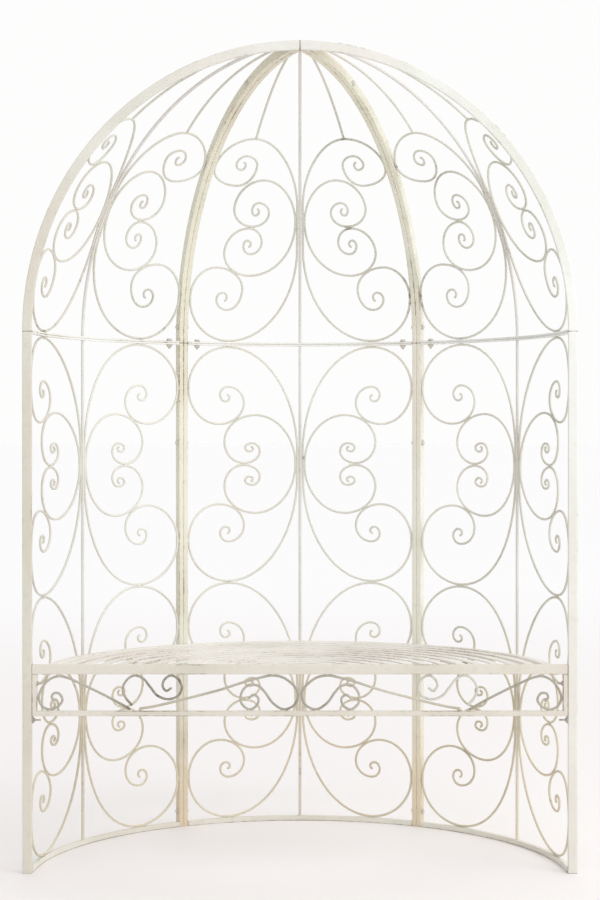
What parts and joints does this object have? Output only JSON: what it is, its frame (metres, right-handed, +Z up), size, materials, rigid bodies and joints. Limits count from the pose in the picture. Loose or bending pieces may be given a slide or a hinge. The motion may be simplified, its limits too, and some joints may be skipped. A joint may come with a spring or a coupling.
{
  "type": "arbor bench",
  "caption": "Half-round metal garden arbor with bolted scrollwork panels closing into a dome, over a half-moon slatted bench seat with a scrolled apron.",
  "frame": {"origin": "centre of the bounding box at floor level", "axes": "+Z up, the open front faces -Y, +X to the viewer's right when facing the front"},
  "size_m": [1.3, 0.638, 1.95],
  "materials": {
    "cream_paint": "antique cream paint, satin, rubbed at the edges",
    "worn_cream": "the same cream paint worn and stained darker on the thin wires",
    "bolt_steel": "bolt heads and nuts painted over and stained"
  },
  "bodies": {
    "root": {"apron_corner_scroll_left": "worn_cream", "apron_corner_scroll_right": "worn_cream", "apron_frame": "cream_paint", "apron_long_scroll_left": "worn_cream", "apron_long_scroll_right": "worn_cream", "apron_middle_scroll_left": "worn_cream", "apron_middle_scroll_right": "worn_cream", "left_gore_foot_rail": "worn_cream", "left_gore_front_stile": "cream_paint", "left_gore_rib_stile": "cream_paint", "left_gore_rod": "cream_paint", "left_gore_scrolls_left": "worn_cream", "left_gore_scrolls_right": "worn_cream", "left_rib_crown_bolt": "bolt_steel", "left_rib_foot_bolt": "bolt_steel", "left_rib_gore_bolt": "bolt_steel", "left_rib_wall_bolt": "bolt_steel", "left_ring_bolt": "bolt_steel", "left_wall_bottom_rail": "cream_paint", "left_wall_front_stile": "cream_paint", "left_wall_rib_stile": "cream_paint", "left_wall_rod": "cream_paint", "left_wall_scrolls_left": "worn_cream", "left_wall_scrolls_right": "worn_cream", "left_wall_top_rail": "worn_cream", "middle_gore_foot_rail": "worn_cream", "middle_gore_left_stile": "cream_paint", "middle_gore_right_stile": "cream_paint", "middle_gore_rod": "cream_paint", "middle_gore_scrolls_left": "worn_cream", "middle_gore_scrolls_right": "worn_cream", "middle_left_ring_bolt": "bolt_steel", "middle_right_ring_bolt": "bolt_steel", "middle_wall_bottom_rail": "cream_paint", "middle_wall_left_stile": "cream_paint", "middle_wall_right_stile": "cream_paint", "middle_wall_rod": "cream_paint", "middle_wall_scrolls_left": "worn_cream", "middle_wall_scrolls_right": "worn_cream", "middle_wall_top_rail": "worn_cream", "right_gore_foot_rail": "worn_cream", "right_gore_front_stile": "cream_paint", "right_gore_rib_stile": "cream_paint", "right_gore_rod": "cream_paint", "right_gore_scrolls_left": "worn_cream", "right_gore_scrolls_right": "worn_cream", "right_rib_crown_bolt": "bolt_steel", "right_rib_foot_bolt": "bolt_steel", "right_rib_gore_bolt": "bolt_steel", "right_rib_wall_bolt": "bolt_steel", "right_ring_bolt": "bolt_steel", "right_wall_bottom_rail": "cream_paint", "right_wall_front_stile": "cream_paint", "right_wall_rib_stile": "cream_paint", "right_wall_rod": "cream_paint", "right_wall_scrolls_left": "worn_cream", "right_wall_scrolls_right": "worn_cream", "right_wall_top_rail": "worn_cream", "seat_deck": "cream_paint", "seat_front_rail": "cream_paint"}
  },
  "joints": []
}
